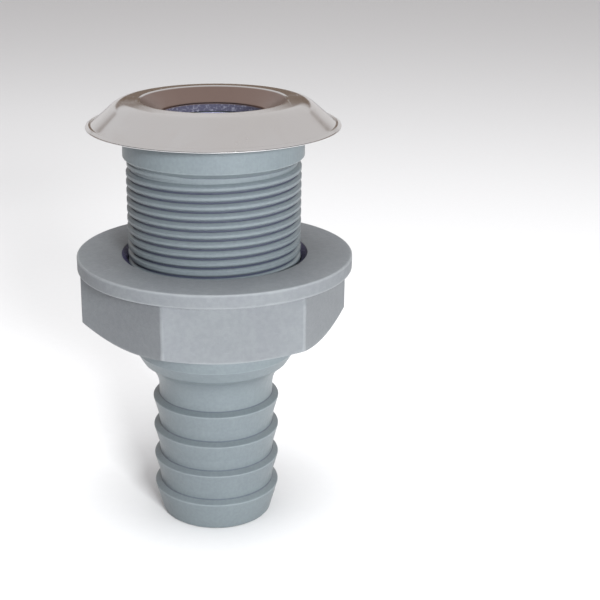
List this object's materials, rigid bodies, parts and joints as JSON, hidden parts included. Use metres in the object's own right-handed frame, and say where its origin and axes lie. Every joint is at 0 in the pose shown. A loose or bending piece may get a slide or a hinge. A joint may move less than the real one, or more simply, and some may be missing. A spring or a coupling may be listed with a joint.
{
  "type": "thru hull fitting",
  "caption": "Through-hull fitting with a metal-capped flange, a threaded barrel, a barbed hose tail and a flanged hexagon nut that screws up to the hull.",
  "frame": {"origin": "centre of the sealing face under the flange, which seats on the outside of the hull", "axes": "+Z along the barrel's axis, out of the hull; the hose tail points to -Z; -Y is the front"},
  "size_m": [0.067, 0.067, 0.1065],
  "materials": {
    "grey_moulding": "satin glass-filled moulding",
    "polished_metal": "polished stainless steel sheet",
    "nut_moulding": "finely grained glass-filled moulding"
  },
  "bodies": {
    "fitting": {"body": "grey_moulding"},
    "cap": {"cap": "polished_metal"},
    "nut": {"nut": "nut_moulding"}
  },
  "joints": [
    {"name": "nut_turn", "type": "hinge", "parent": "fitting", "child": "cap", "pos_m": [0, 0, 0], "axis": [0, 0, 1], "range_deg": [-2520, 3420]},
    {"name": "nut_travel", "type": "slide", "parent": "cap", "child": "nut", "axis": [0, 0, 1], "range_m": [-0.0155, 0.021]}
  ],
  "couplings": [
    {"joint": "nut_travel", "follows": "nut_turn", "m_per_rad": 0.00035152}
  ]
}
